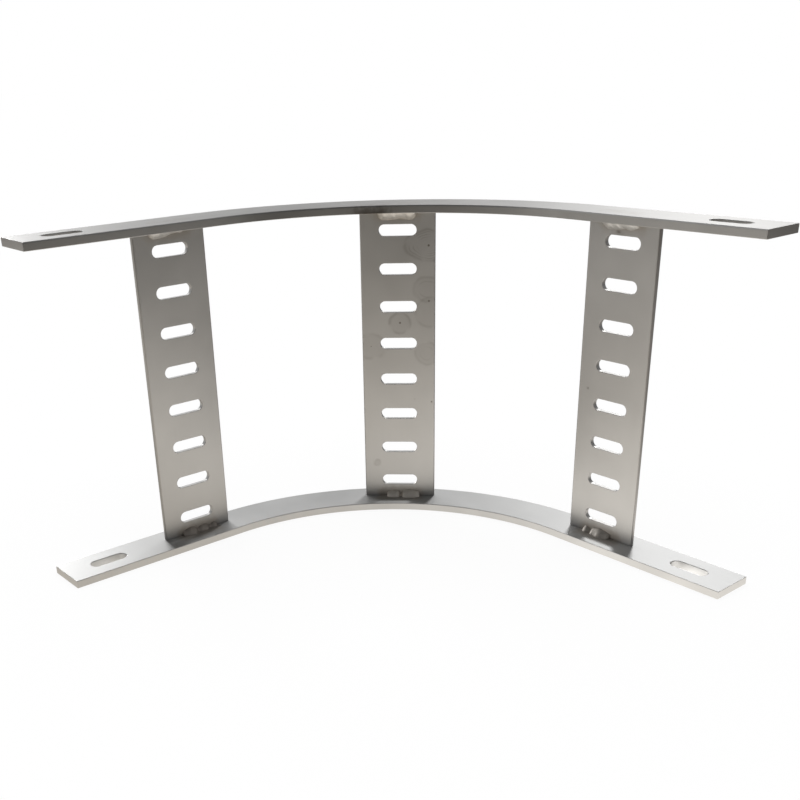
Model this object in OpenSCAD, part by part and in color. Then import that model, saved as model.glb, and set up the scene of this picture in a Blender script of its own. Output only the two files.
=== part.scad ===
// Ladder-type cable tray bend in stainless steel. Two flat-bar side rails are curved the hard way,
// and slotted flat-strip rungs stand between them, each welded to both rails.
// The bend stands on its lower rail, with its hollow side facing -Y and its two legs at -X and +X.
// The origin is on the floor, under the middle of the part's bounding box.

/* [Bend] */
// Angle that the tray turns through, in degrees
bend_angle = 90; // [30:5:120]
// Radius of the rails' inner edge
inner_radius = 150; // [100:5:400]
// Straight length of each leg, past the curve
leg_length = 125; // [105:5:300]

/* [Side rails] */
// Width of the rails' flat bar, across the curve
rail_width = 30; // [24:1:60]
// Thickness of the rails' flat bar
rail_thickness = 5; // [3:0.5:8]
// Radius of the flat bar's edges
rail_edge_radius = 0.4; // [0.2:0.1:1.4]
// Length of the joint slot in each leg
rail_slot_length = 25; // [14:1:30]
// Width of the joint slot in each leg
rail_slot_width = 9; // [6:0.5:12]
// Distance from the end of a leg to the middle of its joint slot
rail_slot_from_end = 30; // [20:1:40]

/* [Rungs] */
// Clear width of the tray, between its rails
tray_width = 200; // [100:25:600]
// Width of the rung strip, along the tray
rung_width = 50; // [40:1:60]
// Thickness of the rung strip
rung_thickness = 3; // [2:0.5:5]
// Radius of the strip's edges
rung_edge_radius = 0.4; // [0.2:0.1:0.9]
// Distance from the end of the curve to the near edge of an outer rung
rung_setback = 1.6; // [0:0.2:10]
// Length of each rung slot, across the strip
rung_slot_length = 25; // [12:1:32]
// Width of each rung slot
rung_slot_width = 7.5; // [5:0.5:12]
// Spacing of the rung slots
rung_slot_pitch = 25; // [22:1:50]

/* [Welds] */
// Length of each weld bead
weld_length = 25; // [14:1:36]
// Leg of each weld bead, up the rung and along the rail
weld_leg = 5; // [2:0.5:6]

/* [Hidden] */

// Colours
steel = [0.70, 0.69, 0.67];
weld_steel = [0.74, 0.70, 0.63];

// Smoothness of round faces
curve_sides = 96;

// Sides of the bend
left = -1;
right = 1;

// Half of the turn, measured from the middle of the curve
half_angle = bend_angle / 2;
// Radius of the rails' outer edge
outer_radius = inner_radius + rail_width;
// Radius of the rails' centre line, where the hollow face of each rung stands
centre_radius = inner_radius + rail_width / 2;

// Place along a leg, past the curve, of its rung and of its joint slot
outer_rung_along = rung_setback + rung_width / 2;
rail_slot_along = leg_length - rail_slot_from_end;

// Heights of the rails' inner faces, which the rungs meet
lower_face = rail_thickness;
upper_face = rail_thickness + tray_width;

// Slots in a rung, spread evenly about its middle
rung_slot_count = floor(tray_width / rung_slot_pitch);
rung_slot_first = (lower_face + upper_face - (rung_slot_count - 1) * rung_slot_pitch) / 2;

// Distance from the curve's centre to the middle of the bounding box
front_y = inner_radius * cos(half_angle) - leg_length * sin(half_angle);
middle_y = (front_y + outer_radius) / 2;

// Extra depth of a cut, past each face that it opens
cut_margin = 1;

// Flat bar's cross-section, centred, with rounded edges
module bar_section(width, thickness, edge_radius) {
    square([width - 2 * edge_radius, thickness], center = true);
    square([width, thickness - 2 * edge_radius], center = true);
    for (x = [-1, 1], y = [-1, 1])
        translate([x * (width / 2 - edge_radius), y * (thickness / 2 - edge_radius)])
            circle(r = edge_radius, $fn = curve_sides);
}

// Round-ended slot through a bar, centred, running along X and cut along Z
module slot_cut(length, width, thickness) {
    linear_extrude(thickness + 2 * cut_margin, center = true) {
        square([length - width, width], center = true);
        for (end = [-1, 1])
            translate([end * (length - width) / 2, 0])
                circle(d = width, $fn = curve_sides);
    }
}

// Moves the curve's centre to where it lies in the part's own frame
module in_place() {
    translate([0, -middle_y, 0])
        children();
}

// Carries a shape from the middle of the curve to a place along one leg
module on_leg(side, along) {
    rotate(-side * half_angle)
        translate([side * along, 0, 0])
            children();
}

// Side rail, with its outer face at Z 0
module rail() {
    difference() {
        union() {
            rotate(90 - half_angle)
                rotate_extrude(angle = bend_angle, $fn = curve_sides)
                    translate([centre_radius, rail_thickness / 2])
                        bar_section(rail_width, rail_thickness, rail_edge_radius);
            for (side = [left, right])
                on_leg(side, leg_length / 2)
                    translate([0, centre_radius, rail_thickness / 2])
                        rotate([90, 0, 90])
                            linear_extrude(leg_length, center = true)
                                bar_section(rail_width, rail_thickness, rail_edge_radius);
        }
        for (side = [left, right])
            on_leg(side, rail_slot_along)
                translate([0, centre_radius, rail_thickness / 2])
                    slot_cut(rail_slot_length, rail_slot_width, rail_thickness);
    }
}

// Rung at the middle of the curve, standing between the rails
module rung() {
    translate([0, centre_radius + rung_thickness / 2, 0])
        difference() {
            translate([0, 0, lower_face])
                linear_extrude(tray_width)
                    bar_section(rung_width, rung_thickness, rung_edge_radius);
            for (i = [0 : rung_slot_count - 1])
                translate([0, 0, rung_slot_first + i * rung_slot_pitch])
                    rotate([90, 0, 0])
                        slot_cut(rung_slot_length, rung_slot_width, rung_thickness);
        }
}

// Fillet weld in the corner between a rung at Y 0 and a rail below Z 0
module weld_bead() {
    straight = weld_length - 2 * weld_leg;
    intersection() {
        union() {
            rotate([0, 90, 0])
                cylinder(h = straight, r = weld_leg, center = true, $fn = curve_sides);
            for (end = [-1, 1])
                translate([end * straight / 2, 0, 0])
                    sphere(r = weld_leg, $fn = curve_sides);
        }
        translate([-weld_length, -2 * weld_leg, 0])
            cube([2 * weld_length, 2 * weld_leg, 2 * weld_leg]);
    }
}

// Weld at the foot of the rung at the middle of the curve
module lower_weld() {
    translate([0, centre_radius, lower_face])
        weld_bead();
}

// Weld at the head of the rung at the middle of the curve
module upper_weld() {
    translate([0, centre_radius, upper_face])
        mirror([0, 0, 1])
            weld_bead();
}

module lower_rail() {
    color(steel)
        in_place()
            rail();
}

module upper_rail() {
    color(steel)
        in_place()
            translate([0, 0, upper_face])
                rail();
}

module left_rung() {
    color(steel)
        in_place()
            on_leg(left, outer_rung_along)
                rung();
}

module middle_rung() {
    color(steel)
        in_place()
            rung();
}

module right_rung() {
    color(steel)
        in_place()
            on_leg(right, outer_rung_along)
                rung();
}

module left_lower_weld() {
    color(weld_steel)
        in_place()
            on_leg(left, outer_rung_along)
                lower_weld();
}

module middle_lower_weld() {
    color(weld_steel)
        in_place()
            lower_weld();
}

module right_lower_weld() {
    color(weld_steel)
        in_place()
            on_leg(right, outer_rung_along)
                lower_weld();
}

module left_upper_weld() {
    color(weld_steel)
        in_place()
            on_leg(left, outer_rung_along)
                upper_weld();
}

module middle_upper_weld() {
    color(weld_steel)
        in_place()
            upper_weld();
}

module right_upper_weld() {
    color(weld_steel)
        in_place()
            on_leg(right, outer_rung_along)
                upper_weld();
}

lower_rail();
upper_rail();
left_rung();
middle_rung();
right_rung();
left_lower_weld();
middle_lower_weld();
right_lower_weld();
left_upper_weld();
middle_upper_weld();
right_upper_weld();
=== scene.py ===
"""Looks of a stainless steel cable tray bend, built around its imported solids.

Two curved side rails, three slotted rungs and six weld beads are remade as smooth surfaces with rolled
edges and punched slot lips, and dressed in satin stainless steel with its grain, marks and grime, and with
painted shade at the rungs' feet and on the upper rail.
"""

import logging
import math
from dataclasses import dataclass, field
from enum import Enum

import bpy
import numpy as np
from mathutils import Matrix, Vector


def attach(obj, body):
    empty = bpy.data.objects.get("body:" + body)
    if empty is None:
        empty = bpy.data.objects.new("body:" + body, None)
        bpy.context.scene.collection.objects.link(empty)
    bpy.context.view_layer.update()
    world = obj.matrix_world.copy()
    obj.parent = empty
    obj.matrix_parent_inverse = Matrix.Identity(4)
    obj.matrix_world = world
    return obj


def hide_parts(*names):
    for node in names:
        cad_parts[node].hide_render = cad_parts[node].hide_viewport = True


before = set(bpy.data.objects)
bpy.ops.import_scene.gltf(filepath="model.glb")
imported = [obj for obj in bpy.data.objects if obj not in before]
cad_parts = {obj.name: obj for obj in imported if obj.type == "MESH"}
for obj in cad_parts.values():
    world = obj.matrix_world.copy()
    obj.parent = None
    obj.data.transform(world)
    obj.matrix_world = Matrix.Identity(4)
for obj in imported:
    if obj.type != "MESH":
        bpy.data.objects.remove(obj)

LOG = logging.getLogger("cable_tray_bend")
MM = 0.001
ORIGIN = (0.0, 0.0, 0.0)
WHITE = (1.0, 1.0, 1.0, 1.0)
# Points in the same step are made one, and the phase keeps the faces' planes off the steps' borders
WELD_STEP = 1e-7
WELD_PHASE = 0.37
# Attribute that holds each point's place along, across and through its bar
BAR_ATTRIBUTE = "bar"
# Body that every piece rides on
BODY = "root"
# Side of the picture, in pixels, and width of the camera's sensor, in millimetres
IMAGE_SIDE = 800.0
SENSOR_WIDTH = 36.0

Colour = tuple[float, float, float]
Socket = bpy.types.NodeSocket
Number = float | Socket
Triple = tuple[float, float, float] | Socket


class Side(Enum):
    """Place of a rung in the bend, as a share of the half turn from its middle."""

    LEFT = -1
    MIDDLE = 0
    RIGHT = 1


class Level(Enum):
    """Rail that a piece belongs to."""

    LOWER = "lower"
    UPPER = "upper"


class FloorTint(Enum):
    """Colour of the floor's light, as metal sees it."""

    WARM = (1.0, 0.925, 0.82)
    PALE = (1.0, 0.95, 0.88)
    WHITE = (1.0, 0.99, 0.975)


class SlotRun(Enum):
    """Way that a slot runs through its bar."""

    LENGTHWISE = 0
    CROSSWISE = 1


@dataclass(frozen=True)
class BendSizes:
    """Driving sizes of the bend, in metres."""

    half_angle: float = math.radians(45)
    inner_radius: float = 150 * MM
    leg_length: float = 125 * MM
    rail_width: float = 30 * MM
    rail_thickness: float = 5 * MM
    rail_slot_length: float = 25 * MM
    rail_slot_width: float = 9 * MM
    rail_slot_from_end: float = 30 * MM
    tray_width: float = 200 * MM
    rung_width: float = 50 * MM
    rung_thickness: float = 3 * MM
    rung_setback: float = 1.6 * MM
    rung_slot_length: float = 25 * MM
    rung_slot_width: float = 7.5 * MM
    rung_slot_pitch: float = 25 * MM
    weld_length: float = 25 * MM
    weld_leg: float = 5 * MM

    @property
    def centre_radius(self) -> float:
        """Radius of the rails' centre line, where the hollow face of each rung stands."""
        return self.inner_radius + self.rail_width / 2

    @property
    def middle_y(self) -> float:
        """Distance from the curve's centre to the middle of the part's box."""
        front = self.inner_radius * math.cos(self.half_angle) - self.leg_length * math.sin(self.half_angle)
        return (front + self.inner_radius + self.rail_width) / 2

    @property
    def rail_length(self) -> float:
        """Length of a rail along its centre line."""
        return 2 * (self.centre_radius * self.half_angle + self.leg_length)

    def base(self, level: Level) -> float:
        """Height of a rail's lower face."""
        return 0.0 if level is Level.LOWER else self.rail_thickness + self.tray_width

    def rung_end(self, level: Level) -> float:
        """Height at which the rungs meet a rail."""
        return self.rail_thickness if level is Level.LOWER else self.rail_thickness + self.tray_width

    def rung_along(self, side: Side) -> float:
        """Distance of a rung's middle past the end of the curve, signed by its side."""
        return side.value * (self.rung_setback + self.rung_width / 2)

    def at_rung(self, side: Side, across: np.ndarray, depth: np.ndarray, height: np.ndarray) -> np.ndarray:
        """Points beside a rung.

        Args:
            side: which rung.
            across: distance along the tray from the rung's middle line.
            depth: distance outwards from the rung's hollow face.
            height: height above the floor.

        Returns:
            Points in the part's frame.
        """
        turn = side.value * self.half_angle
        along = self.rung_along(side) + across
        radius = self.centre_radius + depth
        x = radius * math.sin(turn) + along * math.cos(turn)
        y = radius * math.cos(turn) - along * math.sin(turn) - self.middle_y
        return np.stack(np.broadcast_arrays(x, y, height), axis=-1)

    def turned(self, side: Side, vectors: np.ndarray) -> np.ndarray:
        """Directions beside a rung, given as across, depth and height, turned into the part's frame."""
        cos, sin = math.cos(side.value * self.half_angle), math.sin(side.value * self.half_angle)
        return vectors @ np.array([[cos, -sin, 0.0], [sin, cos, 0.0], [0.0, 0.0, 1.0]])


def added(name: str, data: bpy.types.ID) -> bpy.types.Object:
    """Adds an object to the scene.

    Args:
        name: the object's name.
        data: its mesh, light or camera.

    Returns:
        The new object.
    """
    made = bpy.data.objects.new(name, data)
    bpy.context.scene.collection.objects.link(made)
    return made


@dataclass
class Surface:
    """Points, outward normals and faces of a closed surface, as whole arrays."""

    points: np.ndarray
    normals: np.ndarray
    quads: np.ndarray
    caps: list[np.ndarray] = field(default_factory=list)

    @staticmethod
    def grid(points: np.ndarray, normals: np.ndarray, flip: bool, closed: bool = False) -> "Surface":
        """Surface of a grid of points.

        Args:
            points: array of rows, columns and coordinates.
            normals: outward normals in the same layout.
            flip: whether the faces turn the other way.
            closed: whether the last column joins the first.

        Returns:
            The grid's surface.
        """
        rows, columns = points.shape[:2]
        index = np.arange(rows * columns).reshape(rows, columns)
        if closed:
            index = np.concatenate([index, index[:, :1]], axis=1)
        corners = [index[:-1, :-1], index[1:, :-1], index[1:, 1:], index[:-1, 1:]]
        quads = np.stack(corners[::-1] if flip else corners, axis=-1).reshape(-1, 4)
        return Surface(points.reshape(-1, 3), normals.reshape(-1, 3), quads)

    @staticmethod
    def joined(parts: list["Surface"]) -> "Surface":
        """One surface of several, with the points that coincide made one.

        Args:
            parts: the surfaces.

        Returns:
            The joined surface.
        """
        starts = np.cumsum([0] + [len(p.points) for p in parts[:-1]])
        points = np.concatenate([p.points for p in parts])
        normals = np.concatenate([p.normals for p in parts])
        quads = np.concatenate([p.quads + start for p, start in zip(parts, starts)])
        keys = np.floor(points / WELD_STEP + WELD_PHASE).astype(np.int64)
        _, first, inverse = np.unique(keys, axis=0, return_index=True, return_inverse=True)
        inverse = inverse.reshape(-1)
        caps = [inverse[cap + start] for p, start in zip(parts, starts) for cap in p.caps]
        return Surface(points[first], normals[first], inverse[quads], caps)

    def mesh_object(self, name: str, local: np.ndarray) -> bpy.types.Object:
        """Object of this surface, with its own normals and its bar coordinates kept on its points.

        Args:
            name: the piece's name.
            local: each point's place along, across and through its bar.

        Returns:
            The new object, linked to the scene.
        """
        mesh = bpy.data.meshes.new(name)
        faces = self.quads.tolist() + [cap.tolist() for cap in self.caps]
        mesh.from_pydata(self.points.tolist(), [], faces)
        mesh.shade_smooth()
        mesh.normals_split_custom_set_from_vertices(self.normals.tolist())
        bar = mesh.attributes.new(BAR_ATTRIBUTE, "FLOAT_VECTOR", "POINT")
        bar.data.foreach_set("vector", local.astype(np.float32).ravel())
        mesh.validate()
        return added(name, mesh)


@dataclass(frozen=True)
class Slot:
    """Round-ended slot through a flat bar, with the stretch of the bar that it has to itself."""

    along: float
    length: float
    width: float
    run: SlotRun
    cell: tuple[float, float]

    def outline(self, around: np.ndarray) -> tuple[np.ndarray, np.ndarray]:
        """Nearest points of the slot's spine to a ring of points, and the ways out to them.

        Args:
            around: points along and across the bar, round the slot.

        Returns:
            The spine's points, and unit vectors from them to the ring.
        """
        reach = (self.length - self.width) / 2
        middle = np.array([self.along, 0.0])
        spine = around - middle
        spine[:, self.run.value] = np.clip(spine[:, self.run.value], -reach, reach)
        spine[:, 1 - self.run.value] = 0.0
        spine += middle
        way = around - spine
        return spine, way / np.linalg.norm(way, axis=1, keepdims=True)


@dataclass(frozen=True)
class FlatBar:
    """Straight flat bar with rolled-over long edges, broken ends and slots with punched lips.

    Its coordinates run along, across and through the bar, from its middle. Each long edge is a quarter of an
    ellipse, which reaches as far across the bar on both faces and its own depth through the bar on each.
    """

    length: float
    width: float
    thickness: float
    edge: float
    edge_over: float
    edge_under: float
    end_edge: float
    lip_over: float
    lip_under: float
    slots: tuple[Slot, ...]
    step_along: float
    steps_across: int = 12
    arc_steps: int = 8
    end_steps: int = 3
    face_shares: tuple[float, ...] = (1.0, 0.6, 0.3, 0.1)

    @property
    def flat(self) -> float:
        """Half the width of the flat faces, between the rolled edges."""
        return self.width / 2 - self.edge

    @property
    def reach(self) -> float:
        """Half the length of the flat faces, between the broken ends."""
        return self.length / 2 - self.end_edge

    def across(self) -> np.ndarray:
        """Places across the flat faces."""
        return np.linspace(-self.flat, self.flat, self.steps_across + 1)

    def steps(self, start: float, end: float) -> np.ndarray:
        """Places along one cell of the bar, evenly spaced."""
        return np.linspace(start, end, max(2, round((end - start) / self.step_along)) + 1)

    def cells(self) -> list[tuple[float, float, Slot | None]]:
        """Stretches of the bar in order.

        Returns:
            Each stretch's start and end along the bar, and the slot that it holds, if any.
        """
        stretches = []
        start = -self.reach
        for slot in self.slots:
            low, high = max(slot.cell[0], -self.reach), min(slot.cell[1], self.reach)
            if low - start > WELD_STEP:
                stretches.append((start, low, None))
            stretches.append((low, high, slot))
            start = high
        if self.reach - start > WELD_STEP:
            stretches.append((start, self.reach, None))
        return stretches

    def section(self) -> tuple[np.ndarray, np.ndarray]:
        """Closed loop round the bar's section: a rectangle with a quarter of an ellipse at each corner.

        Returns:
            Points across and through the bar, clockwise from the upper left, and their outward normals.
        """
        quarter = np.radians(np.linspace(90, 0, self.arc_steps + 1))
        across = self.across()
        ones = np.ones_like(across)
        points = [np.stack([across, ones * self.thickness / 2], 1)]
        normals = [np.stack([0 * ones, ones], 1)]
        for corner, (x, y, turn) in enumerate(((1, 1, 0), (1, -1, 1), (-1, -1, 2), (-1, 1, 3))):
            angle = quarter - turn * math.pi / 2
            circle = np.stack([np.cos(angle), np.sin(angle)], 1)
            axes = np.array([self.edge, self.edge_over if y > 0 else self.edge_under])
            centre = np.array([x * self.flat, y * (self.thickness / 2 - axes[1])])
            round_off = centre + axes * circle
            away = circle / axes
            away /= np.linalg.norm(away, axis=1, keepdims=True)
            keep = slice(1, None) if corner % 2 == 0 else slice(0, -1)
            points.append(round_off[keep])
            normals.append(away[keep])
            if corner == 1:
                points.append(np.stack([across[::-1], -ones * self.thickness / 2], 1))
                normals.append(np.stack([0 * ones, -ones], 1))
        return np.concatenate(points), np.concatenate(normals)

    def plain_faces(self, start: float, end: float) -> list[Surface]:
        """Upper and lower faces of a stretch with no slot: flat grids along and across it.

        Args:
            start: where the stretch starts along the bar.
            end: where it ends.

        Returns:
            The two faces.
        """
        along, across = np.meshgrid(self.steps(start, end), self.across(), indexing="ij")
        faces = []
        for way in (1, -1):
            points = np.stack([along, across, np.full_like(along, way * self.thickness / 2)], -1)
            normals = np.zeros_like(points)
            normals[..., 2] = way
            faces.append(Surface.grid(points, normals, flip=way < 0))
        return faces

    def slotted_faces(self, start: float, end: float, slot: Slot) -> Surface:
        """Upper face, slot wall and lower face of a stretch with a slot, as one grid.

        Each column starts on the stretch's outline, runs over the upper face straight towards the slot's
        spine, rolls over the punched lip, goes down the wall and runs back out over the lower face.

        Args:
            start: where the stretch starts along the bar.
            end: where it ends.
            slot: the slot in it.

        Returns:
            The faces and the wall.
        """
        along, across = self.steps(start, end), self.across()
        low, high = np.full(len(along) - 1, -self.flat), np.full(len(along) - 1, self.flat)
        left, right = np.full(len(across) - 1, start), np.full(len(across) - 1, end)
        outline = np.concatenate(
            [
                np.stack([along[:-1], low], 1),
                np.stack([right, across[:-1]], 1),
                np.stack([along[:0:-1], high], 1),
                np.stack([left, across[:0:-1]], 1),
            ]
        )
        spine, way = slot.outline(outline)
        shares = self.face_shares
        tilt = np.radians(np.linspace(0, 90, self.arc_steps + 1))
        half = self.thickness / 2
        rows, tilts, heights = [], [], []
        for lip, sign in ((self.lip_over, 1), (self.lip_under, -1)):
            edge = spine + way * (slot.width / 2 + lip)
            flat_rows = [edge + (outline - edge) * share for share in shares]
            lip_rows = [spine + way * (slot.width / 2 + lip * (1 - math.sin(t))) for t in tilt]
            lip_heights = [sign * (half - lip * (1 - math.cos(t))) for t in tilt]
            order = slice(None) if sign > 0 else slice(None, None, -1)
            rows += (flat_rows + lip_rows)[order]
            heights += ([sign * half] * len(shares) + lip_heights)[order]
            tilts += [(sign * math.cos(t), math.sin(t)) for t in [0.0] * len(shares) + list(tilt)][order]
        plane = np.stack(rows)
        height = np.broadcast_to(np.array(heights)[:, None, None], plane.shape[:2] + (1,))
        points = np.concatenate([plane, height], axis=-1)
        up, inwards = np.array(tilts).T
        normals = np.zeros_like(points)
        normals[..., :2] = -inwards[:, None, None] * way[None]
        normals[..., 2] = up[:, None]
        return Surface.grid(points, normals, flip=True, closed=True)

    def long_edges(self, stations: np.ndarray) -> list[Surface]:
        """Rolled edges along both sides: the section's side stretches carried along the bar.

        Args:
            stations: places along the bar.

        Returns:
            The two sides.
        """
        points, normals = self.section()
        face, round_off = self.steps_across, 2 * self.arc_steps
        right = np.arange(face, face + round_off + 2)
        left = np.arange(2 * face + round_off + 1, len(points) + 1) % len(points)
        edges = []
        for side in (right, left):
            grid = np.zeros((len(stations), len(side), 3))
            grid[..., 0] = stations[:, None]
            grid[..., 1:] = points[side][None]
            away = np.zeros_like(grid)
            away[..., 1:] = normals[side][None]
            edges.append(Surface.grid(grid, away, flip=False))
        return edges

    def end(self, way: int) -> Surface:
        """Broken end: the section's loop shrunk towards its middle on a quarter round, with a flat face.

        Args:
            way: 1 for the far end and -1 for the near end.

        Returns:
            The end.
        """
        points, normals = self.section()
        tilt = np.radians(np.linspace(0, 90, self.end_steps + 1))
        inset = self.end_edge * (1 - np.cos(tilt))
        rings = np.zeros((len(tilt), len(points), 3))
        rings[..., 0] = way * (self.reach + self.end_edge * np.sin(tilt))[:, None]
        halves = np.array([self.width / 2, self.thickness / 2])
        rings[..., 1:] = points[None] * (1 - inset[:, None, None] / halves)
        away = np.zeros_like(rings)
        away[..., 0] = way * np.sin(tilt)[:, None]
        away[..., 1:] = np.cos(tilt)[:, None, None] * normals[None]
        surface = Surface.grid(rings, away, flip=way < 0, closed=True)
        last = np.arange((len(tilt) - 1) * len(points), len(tilt) * len(points))
        surface.caps.append(last[::-1] if way > 0 else last)
        return surface

    def surface(self) -> Surface:
        """Whole bar as one closed surface in its own coordinates.

        Returns:
            The surface.
        """
        parts, stations = [], []
        for start, end, slot in self.cells():
            stations.append(self.steps(start, end))
            if slot is None:
                parts += self.plain_faces(start, end)
            else:
                parts.append(self.slotted_faces(start, end, slot))
        along = np.unique(np.round(np.concatenate(stations) / WELD_STEP)) * WELD_STEP
        parts += self.long_edges(along)
        parts += [self.end(1), self.end(-1)]
        return Surface.joined(parts)


class Graph:
    """Node tree that is written as expressions: each call adds a node and hands back its output."""

    # Numbers of the sockets of a Mix node that take and give colours
    MIX_FIRST = 6
    MIX_SECOND = 7
    MIX_RESULT = 2

    def __init__(self, tree: bpy.types.NodeTree) -> None:
        """Keeps the tree that the nodes go into."""
        self.tree = tree

    @classmethod
    def of(cls, owner: bpy.types.Material | bpy.types.World) -> "Graph":
        """Empties the graph of a material or a world.

        Args:
            owner: the material or world.

        Returns:
            Its empty graph.
        """
        owner.use_nodes = True
        owner.node_tree.nodes.clear()
        return cls(owner.node_tree)

    def node(
        self, kind: str, inputs: dict[str | int, object] | None = None, **settings: object
    ) -> bpy.types.Node:
        """Adds a node.

        Args:
            kind: the node's type.
            inputs: a socket to link or a value to set, for each input by name or number.
            settings: the node's own properties.

        Returns:
            The new node.
        """
        made = self.tree.nodes.new(kind)
        for name, value in settings.items():
            setattr(made, name, value)
        for key, value in (inputs or {}).items():
            if isinstance(value, Socket):
                self.tree.links.new(value, made.inputs[key])
            else:
                made.inputs[key].default_value = value
        return made

    def math(self, operation: str, *values: Number, clamp: bool = False) -> Socket:
        """Result of a sum on plain numbers."""
        made = self.node("ShaderNodeMath", dict(enumerate(values)), operation=operation, use_clamp=clamp)
        return made.outputs["Value"]

    def vector(self, operation: str, *values: Triple) -> Socket:
        """Result of a sum on vectors: a number for a length, and else a vector."""
        made = self.node("ShaderNodeVectorMath", dict(enumerate(values)), operation=operation)
        return made.outputs["Value" if operation == "LENGTH" else "Vector"]

    def ramp(self, value: Number, low: Number, high: Number, start: float = 0.0, end: float = 1.0) -> Socket:
        """Smooth step between two values.

        Args:
            value: the value that drives the step.
            low: where the step starts.
            high: where the step ends.
            start: the result up to low.
            end: the result from high on.

        Returns:
            The result.
        """
        keys = ("Value", "From Min", "From Max", "To Min", "To Max")
        inputs = dict(zip(keys, (value, low, high, start, end)))
        return self.node("ShaderNodeMapRange", inputs, interpolation_type="SMOOTHSTEP").outputs["Result"]

    def noise(self, place: Triple, scale: Number, detail: float = 2.0, rough: float = 0.5) -> Socket:
        """Fractal noise at a place."""
        inputs = {"Vector": place, "Scale": scale, "Detail": detail, "Roughness": rough}
        return self.node("ShaderNodeTexNoise", inputs, noise_dimensions="3D").outputs["Fac"]

    def blend(self, share: Number, first: object, second: object) -> Socket:
        """Colour between two colours."""
        inputs = {"Factor": share, self.MIX_FIRST: first, self.MIX_SECOND: second}
        return self.node("ShaderNodeMix", inputs, data_type="RGBA").outputs[self.MIX_RESULT]

    def parts(self, vector: Triple) -> tuple[Socket, ...]:
        """The three numbers of a vector."""
        return tuple(self.node("ShaderNodeSeparateXYZ", {0: vector}).outputs)

    def joined(self, x: Number, y: Number, z: Number) -> Socket:
        """Vector of three numbers."""
        return self.node("ShaderNodeCombineXYZ", {"X": x, "Y": y, "Z": z}).outputs["Vector"]

    def ragged(self, reach: Socket, place: Socket, scale: float, swing: float) -> Socket:
        """Reach broken up by noise, from one minus the swing to one plus the swing times itself.

        Args:
            reach: the plain reach.
            place: where the noise is read.
            scale: the noise's scale.
            swing: how far the reach goes up and down, as a share of it.

        Returns:
            The broken reach.
        """
        share = self.math("MULTIPLY_ADD", self.noise(place, scale, detail=3.0), 2 * swing, 1 - swing)
        return self.math("MULTIPLY", reach, share)

    def bell(self, *axes: tuple[Socket, float, Number]) -> Socket:
        """Bell curve: e to the power of minus the sum of the axes' squared distances, each in spreads.

        Args:
            axes: for each axis, the value on it, the bell's middle and the bell's spread.

        Returns:
            The bell's height, which is one at its middle.
        """
        power = 0.0
        for value, middle, spread in axes:
            off = self.math("DIVIDE", self.math("SUBTRACT", value, middle), spread)
            power = self.math("MULTIPLY_ADD", off, off, power)
        return self.math("EXPONENT", self.math("MULTIPLY", power, -1.0))

    def metal(self, colour: Socket, roughness: Socket, relief: Socket) -> None:
        """Ends a material's graph with bare metal.

        Args:
            colour: the metal's colour.
            roughness: its roughness.
            relief: its fine relief, in metres.
        """
        bump = self.node("ShaderNodeBump", {"Strength": 1.0, "Distance": 1.0, "Height": relief})
        inputs = {"Base Color": colour, "Metallic": 1.0, "Roughness": roughness}
        shader = self.node("ShaderNodeBsdfPrincipled", inputs | {"Normal": bump.outputs["Normal"]})
        self.node("ShaderNodeOutputMaterial", {"Surface": shader.outputs["BSDF"]})


class Effect:
    """Surface effect as a shader node group, built once and placed in each material with its own values."""

    name: str
    inputs: dict[str, float | tuple[float, float, float]]
    outputs: tuple[str, ...]

    def draw(self, graph: Graph, given: dict[str, Socket]) -> tuple[Socket, ...]:
        """Draws the effect.

        Args:
            graph: the group's own graph.
            given: the group's inputs by name.

        Returns:
            The group's outputs in order.
        """
        raise NotImplementedError

    def group(self) -> bpy.types.NodeTree:
        """Finds the effect's node group, or makes it on first use.

        Returns:
            The group.
        """
        known = bpy.data.node_groups.get(self.name)
        if known:
            return known
        tree = bpy.data.node_groups.new(self.name, "ShaderNodeTree")
        for name, value in self.inputs.items():
            kind = "NodeSocketVector" if isinstance(value, tuple) else "NodeSocketFloat"
            tree.interface.new_socket(name, in_out="INPUT", socket_type=kind).default_value = value
        for name in self.outputs:
            tree.interface.new_socket(name, in_out="OUTPUT", socket_type="NodeSocketFloat")
        graph = Graph(tree)
        given = {socket.name: socket for socket in graph.node("NodeGroupInput").outputs if socket.name}
        graph.node("NodeGroupOutput", dict(zip(self.outputs, self.draw(graph, given))))
        return tree

    def place(self, graph: Graph, **values: object) -> dict[str, Socket]:
        """Places the effect in a material.

        Args:
            graph: the material's graph.
            values: the group's inputs, with _ for each space in a name.

        Returns:
            The group's outputs by name.
        """
        inputs = {key.replace("_", " "): value for key, value in values.items()}
        made = graph.node("ShaderNodeGroup", inputs, node_tree=self.group())
        return {name: made.outputs[name] for name in self.outputs}


class RolledGrain(Effect):
    """Fine streaks that the rolls leave along a bar."""

    name = "rolled_grain"
    inputs = {"Bar": ORIGIN, "Streak": 30 * MM, "Line": 0.2 * MM}
    outputs = ("Grain",)

    def draw(self, graph: Graph, given: dict[str, Socket]) -> tuple[Socket, ...]:
        """Draws noise over the bar's coordinates, each divided by the size of a streak that way.

        Args:
            graph: the group's own graph.
            given: the group's inputs by name.

        Returns:
            The grain.
        """
        size = graph.joined(given["Streak"], given["Line"], given["Line"])
        return (graph.noise(graph.vector("DIVIDE", given["Bar"], size), 1.0, detail=3.0, rough=0.65),)


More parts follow.
